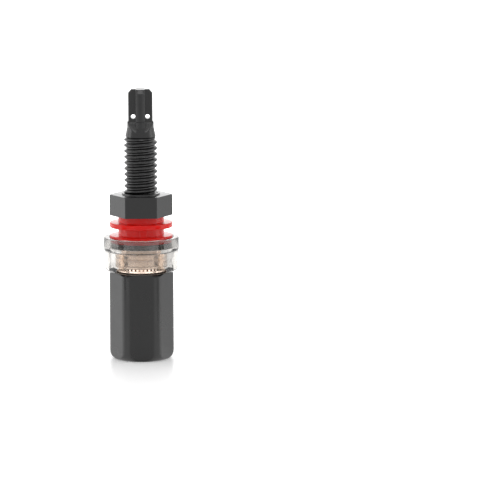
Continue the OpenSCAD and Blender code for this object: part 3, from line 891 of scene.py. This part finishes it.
loss = joined(tree, "ShaderNodeMapRange", Value=apart.outputs["X"], From_Min=-0.1, From_Max=0.1,
              To_Min=0.2, To_Max=0.8)
lost = sum_of(tree, "MULTIPLY", behind.outputs["Result"], loss.outputs["Result"])
kept = sum_of(tree, "SUBTRACT", 1.0, lost)
glow = sum_of(tree, "MULTIPLY", sum_of(tree, "MULTIPLY", aside.outputs["Result"], kept), side_shine)
ahead = joined(tree, "ShaderNodeMapRange", {"interpolation_type": "SMOOTHSTEP"},
               Value=sum_of(tree, "MULTIPLY", apart.outputs["Y"], -1.0), From_Min=0.0, From_Max=0.6)
path = tree.nodes.new("ShaderNodeLightPath")
through = path.outputs["Is Transmission Ray"]
mirrored = sum_of(tree, "SUBTRACT", path.outputs["Is Glossy Ray"], through, clamp=True)
backdrop = sum_of(tree, "MULTIPLY", lift.outputs["Result"], path.outputs["Is Camera Ray"])
painted_glow_in_reflections = sum_of(tree, "MULTIPLY", sum_of(tree, "ADD", glow, front_shine), mirrored)
painted_glow_through_plastic = sum_of(tree, "MULTIPLY", sum_of(tree, "MULTIPLY", ahead.outputs["Result"], through_shine),
                  through)
tree.links.new(sum_of(tree, "ADD", backdrop, sum_of(tree, "ADD", painted_glow_in_reflections, painted_glow_through_plastic)),
               floor_shader.inputs["Emission Strength"])
floor_mesh.materials.append(floor_white)

world = bpy.data.worlds.new("surroundings")
scene.world = world
world.use_nodes = True
tree = world.node_tree
sky = tree.nodes["Background"]
path = tree.nodes.new("ShaderNodeLightPath")
mirrored = sum_of(tree, "MAXIMUM", path.outputs["Is Glossy Ray"], path.outputs["Is Transmission Ray"])
seen = sum_of(tree, "MAXIMUM", path.outputs["Is Camera Ray"], mirrored)
level = joined(tree, "ShaderNodeMapRange", Value=seen, To_Min=0.75, To_Max=1.0)
tree.links.new(level.outputs["Result"], sky.inputs["Strength"])
sky.inputs["Color"].default_value = (1, 1, 1, 1)


def soft_box(name, bearing, distance, low, high, width, radiance):
    """A rectangular lamp that stands beside or behind the object and faces its axis. Its energy
    follows from the radiance of its surface."""
    lamp = bpy.data.lights.new(name, "AREA")
    lamp.shape = "RECTANGLE"
    lamp.size = width
    lamp.size_y = high - low
    lamp.energy = radiance * math.pi * width * (high - low)
    box = bpy.data.objects.new(name, lamp)
    scene.collection.objects.link(box)
    turn = math.radians(bearing)
    box.location = (distance * math.sin(turn), -distance * math.cos(turn), (low + high) / 2)
    inwards = Vector((-math.sin(turn), math.cos(turn), 0))
    box.rotation_euler = inwards.to_track_quat("-Z", "Y").to_euler()
    box.visible_camera = False


def card(name, bearing, near, far, low, high, width, radiance):
    """A card, black or glowing, from its near and low edge to its far and high one. It shows only
    in reflections and through clear plastic."""
    turn = math.radians(bearing)
    outwards = Vector((math.sin(turn), -math.cos(turn), 0))
    along = Vector((math.cos(turn), math.sin(turn), 0)) * width / 2
    first = outwards * near + Vector((0, 0, low))
    last = outwards * far + Vector((0, 0, high))
    mesh = bpy.data.meshes.new(name)
    corners = [first - along, first + along, last + along, last - along]
    mesh.from_pydata([tuple(c) for c in corners], [], [(0, 1, 2, 3)])
    sheet = bpy.data.objects.new(name, mesh)
    scene.collection.objects.link(sheet)
    paint = bpy.data.materials.new(name)
    paint.use_nodes = True
    shader = paint.node_tree.nodes["Principled BSDF"]
    shader.inputs["Base Color"].default_value = (0.02, 0.02, 0.02, 1)
    shader.inputs["Emission Color"].default_value = (1, 1, 1, 1)
    shader.inputs["Emission Strength"].default_value = radiance
    mesh.materials.append(paint)
    sheet.visible_camera = False
    sheet.visible_diffuse = False
    sheet.visible_shadow = False


soft_box("left_box", bearing=-92, distance=0.6, low=0.0, high=0.8, width=0.26, radiance=1.6)
soft_box("right_box", bearing=92, distance=0.6, low=0.0, high=0.8, width=0.26, radiance=1.4)
soft_box("left_back_box", bearing=-125, distance=0.7, low=0.0, high=0.8, width=0.40, radiance=0.7)
soft_box("back_box", bearing=180, distance=0.8, low=0.0, high=0.5, width=0.6, radiance=0.8)
flag_away = 0.12
glow_away = 0.14
roof = 0.4
card("left_flag", bearing=-63, near=flag_away, far=flag_away, low=0.0, high=0.022, width=0.038,
     radiance=0.1)
card("right_flag", bearing=61, near=flag_away, far=flag_away, low=0.0, high=0.022, width=0.038,
     radiance=0.1)
card("left_glow", bearing=-83, near=glow_away, far=glow_away, low=0.0, high=0.02, width=0.05,
     radiance=2.4)
card("right_glow", bearing=83, near=glow_away, far=glow_away, low=0.0, high=0.02, width=0.05,
     radiance=2.3)
card("top_glow", bearing=0, near=0.08, far=0.20, low=roof, high=roof, width=0.24,
     radiance=3.5)

lens = bpy.data.cameras.new("camera")
lens.lens = 315.2
lens.sensor_width = 36
lens.clip_start = 0.05
camera = bpy.data.objects.new("camera", lens)
scene.collection.objects.link(camera)
aim = Vector((0.0235, 0, 0.02815))
away = 1.0
rise = math.radians(8.8)
roll = math.radians(-0.2)
camera.location = Vector((0, -away * math.cos(rise), aim.z + away * math.sin(rise)))
camera.rotation_euler = (aim - camera.location).to_track_quat("-Z", "Y").to_euler()
camera.rotation_euler.rotate_axis("Z", roll)
scene.camera = camera
scene.view_settings.view_transform = "Standard"
